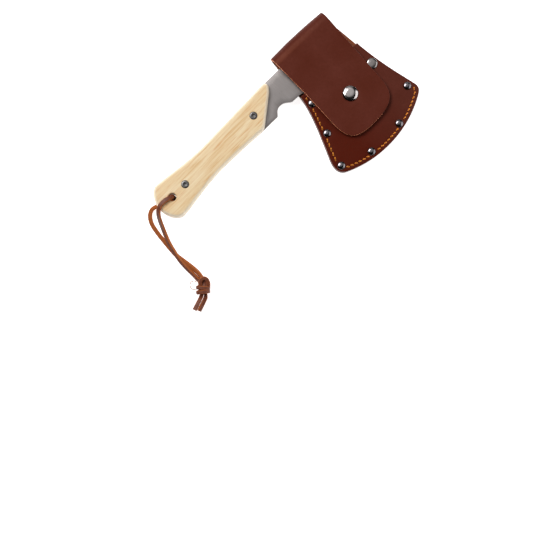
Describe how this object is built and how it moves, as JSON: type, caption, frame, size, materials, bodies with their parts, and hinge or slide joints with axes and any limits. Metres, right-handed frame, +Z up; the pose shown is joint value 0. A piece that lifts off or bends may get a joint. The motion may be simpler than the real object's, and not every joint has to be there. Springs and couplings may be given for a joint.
{
  "type": "carving hatchet",
  "caption": "Small full-tang carving hatchet with wooden handle slabs, a riveted leather sheath closed by a snap flap, and a knotted leather lanyard.",
  "frame": {"origin": "on the floor, under the middle of the box round the hatchet and its sheath", "axes": "+X from the handle's butt to the head, +Y from the cutting edge to the spine, +Z up out of the front face"},
  "size_m": [0.3163, 0.1438, 0.0342],
  "materials": {
    "head_steel": "brushed",
    "handle_wood": "oiled",
    "handle_screws": "satin",
    "sheath_leather": "smooth brown",
    "welt_leather": "raw cut edge",
    "rivet_nickel": "dark nickel",
    "snap_chrome": "polished",
    "seam_thread": "waxed thread",
    "lanyard_leather": "suede edges"
  },
  "bodies": {
    "hatchet": {"head_and_tang": "head_steel", "front_scale": "handle_wood", "back_scale": "handle_wood", "rear_handle_bolt": "handle_screws", "rear_sleeve_nut": "handle_screws", "front_handle_bolt": "handle_screws", "front_sleeve_nut": "handle_screws", "lanyard_front_strand": "lanyard_leather", "lanyard_back_strand": "lanyard_leather", "lanyard_knot": "lanyard_leather", "lanyard_long_tail": "lanyard_leather", "lanyard_short_tail": "lanyard_leather"},
    "sheath": {"sheath_front_panel": "sheath_leather", "sheath_back_panel": "sheath_leather", "sheath_welt": "welt_leather", "flap_fold": "sheath_leather", "rivet_cap_1": "rivet_nickel", "rivet_cap_2": "rivet_nickel", "rivet_cap_3": "rivet_nickel", "rivet_cap_4": "rivet_nickel", "rivet_cap_5": "rivet_nickel", "rivet_cap_6": "rivet_nickel", "rivet_post_1": "rivet_nickel", "rivet_post_2": "rivet_nickel", "rivet_post_3": "rivet_nickel", "rivet_post_4": "rivet_nickel", "rivet_post_5": "rivet_nickel", "rivet_post_6": "rivet_nickel", "seam_thread_1": "seam_thread", "seam_thread_2": "seam_thread", "seam_thread_3": "seam_thread", "seam_thread_4": "seam_thread", "seam_thread_5": "seam_thread", "seam_thread_6": "seam_thread", "side_rivet_cap": "rivet_nickel", "side_rivet_post": "rivet_nickel", "snap_stud": "rivet_nickel", "snap_post": "rivet_nickel"},
    "flap": {"sheath_flap": "sheath_leather", "snap_cap": "snap_chrome", "snap_socket": "snap_chrome"}
  },
  "joints": [
    {"name": "sheath_slide", "type": "slide", "parent": "hatchet", "child": "sheath", "axis": [-0.0784, -0.9969, 0.0031], "range_m": [0, 0.25]},
    {"name": "flap_hinge", "type": "hinge", "parent": "sheath", "child": "flap", "pos_m": [0.08484, 0.06899, 0.01244], "axis": [-0.9985, 0.0382, 0.04], "range_deg": [0, 180], "deforming": ["flap_fold"]}
  ]
}
